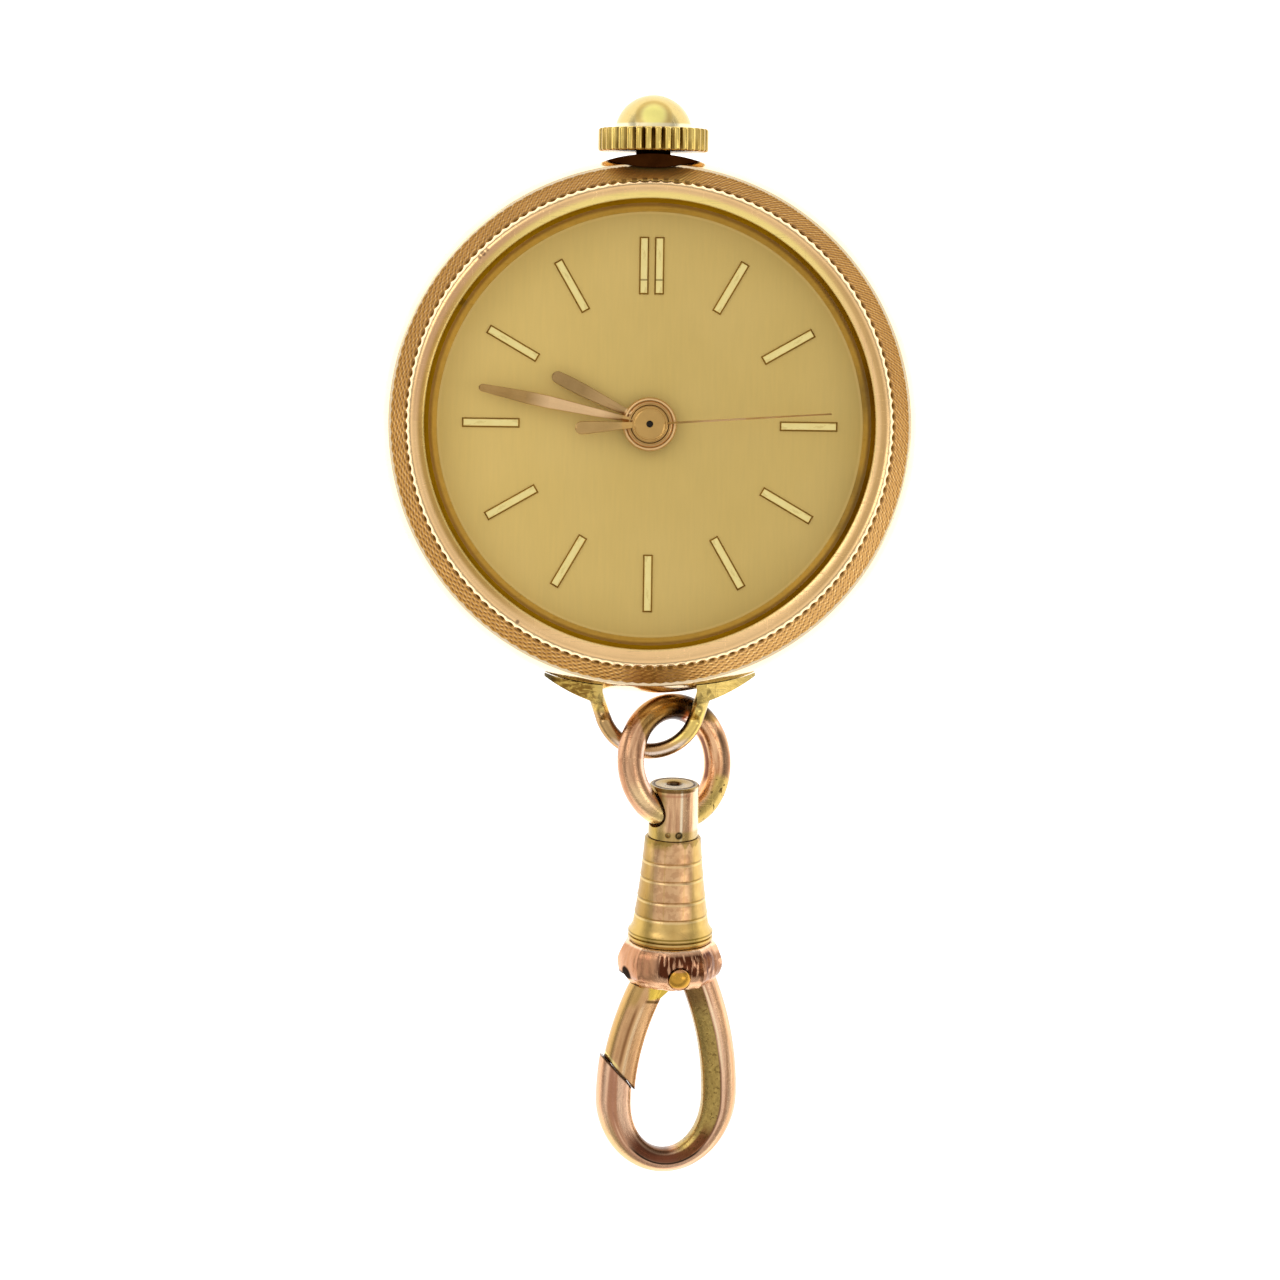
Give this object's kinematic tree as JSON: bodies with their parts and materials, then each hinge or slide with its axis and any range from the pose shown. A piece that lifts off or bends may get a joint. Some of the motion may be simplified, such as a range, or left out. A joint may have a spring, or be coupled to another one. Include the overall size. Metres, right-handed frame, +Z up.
{
  "type": "ball pendant watch",
  "caption": "Round ball pendant watch with a high domed crystal, a bar-marked dial, a fluted crown on top, and a jump ring with a swivel dog clip below.",
  "frame": {"origin": "the point where the domed back touches the surface that the watch lies on, under the dial's centre", "axes": "+Z up out of the dial, +Y from the dial's centre to the crown at twelve, so the clip lies towards -Y; +X towards three o'clock"},
  "size_m": [0.028, 0.0564, 0.0162],
  "materials": {
    "band_gold": "polished warm gold, rubbed bright, fine scratches",
    "back_gold": "polished gold, lightly worn",
    "turned_gold": "engine-turned brown gold with fine slanting lines",
    "bezel_gold": "polished gold, pinkish outside and cream inside, small nicks",
    "wall_olive": "dark olive brown, stained in patches",
    "crystal_clear": "clear polished dome",
    "dial_satin": "champagne satin with faint upright brushing",
    "movement_metal": "plain satin",
    "arbor_dark": "dark",
    "bar_gold": "pale polished yellow gold with dark edges",
    "hand_gold": "pale pinkish gold, satin",
    "seat_dark": "tarnished dark brown",
    "stem_steel": "plain",
    "crown_gold": "pale yellow gold, dark in the flutes",
    "bail_gold": "yellow gold with dark inner edges and a pink foot",
    "ring_gold": "rose and yellow gold, olive brown above, pitted below",
    "eye_gold": "pinkish tan gold, yellow on one side, stained at the hole",
    "barrel_gold": "rose gold with olive grooves",
    "hook_gold": "rose gold outside, rough olive yellow inside, hammered collar",
    "gate_gold": "tan pink gold with one darker streak",
    "rivet_gold": "yellow gold"
  },
  "bodies": {
    "watch": {"case_band": "band_gold", "back": "back_gold", "knurled_ring": "turned_gold", "bezel": "bezel_gold", "dial_wall": "wall_olive", "crystal": "crystal_clear", "dial": "dial_satin", "movement": "movement_metal", "hand_arbor": "arbor_dark", "bar_1": "bar_gold", "bar_2": "bar_gold", "bar_3": "bar_gold", "bar_4": "bar_gold", "bar_5": "bar_gold", "bar_6": "bar_gold", "bar_7": "bar_gold", "bar_8": "bar_gold", "bar_9": "bar_gold", "bar_10": "bar_gold", "bar_11": "bar_gold", "bar_12_left": "bar_gold", "bar_12_right": "bar_gold", "crown_seat": "seat_dark", "bail": "bail_gold", "jump_ring": "ring_gold", "swivel_eye": "eye_gold"},
    "stem": {"crown_stem": "stem_steel"},
    "crown": {"crown": "crown_gold"},
    "hour_hand": {"hour_hand": "hand_gold"},
    "minute_hand": {"minute_hand": "hand_gold"},
    "seconds_hand": {"seconds_hand": "hand_gold"},
    "clip": {"clip_barrel": "barrel_gold", "hook": "hook_gold", "rivet": "rivet_gold"},
    "gate": {"gate": "gate_gold"}
  },
  "joints": [
    {"name": "crown_pull", "type": "slide", "parent": "watch", "child": "stem", "axis": [0, 1, 0], "range_m": [0, 0.0008]},
    {"name": "crown_turn", "type": "hinge", "parent": "stem", "child": "crown", "pos_m": [0, 0.01515, 0.0063], "axis": [0, 1, 0], "continuous": true},
    {"name": "minute_turn", "type": "hinge", "parent": "watch", "child": "minute_hand", "pos_m": [0, 0, 0.00852], "axis": [0, 0, -1], "continuous": true},
    {"name": "hour_turn", "type": "hinge", "parent": "watch", "child": "hour_hand", "pos_m": [0, 0, 0.00821], "axis": [0, 0, -1], "continuous": true},
    {"name": "seconds_turn", "type": "hinge", "parent": "watch", "child": "seconds_hand", "pos_m": [0, 0, 0.00884], "axis": [0, 0, -1], "continuous": true},
    {"name": "clip_swivel", "type": "hinge", "parent": "watch", "child": "clip", "pos_m": [0.00153, -0.0187, 0.00625], "axis": [-0.013, -0.9666, -0.2561], "continuous": true},
    {"name": "gate_open", "type": "hinge", "parent": "clip", "child": "gate", "pos_m": [0.0014, -0.02827, 0.00371], "axis": [0.2045, -0.2533, 0.9455], "range_deg": [0, 22], "stiffness_Nm_per_rad": 0.0001, "springref_deg": -17.19}
  ],
  "couplings": [
    {"joint": "hour_turn", "follows": "minute_turn", "ratio": 0.083333}
  ]
}
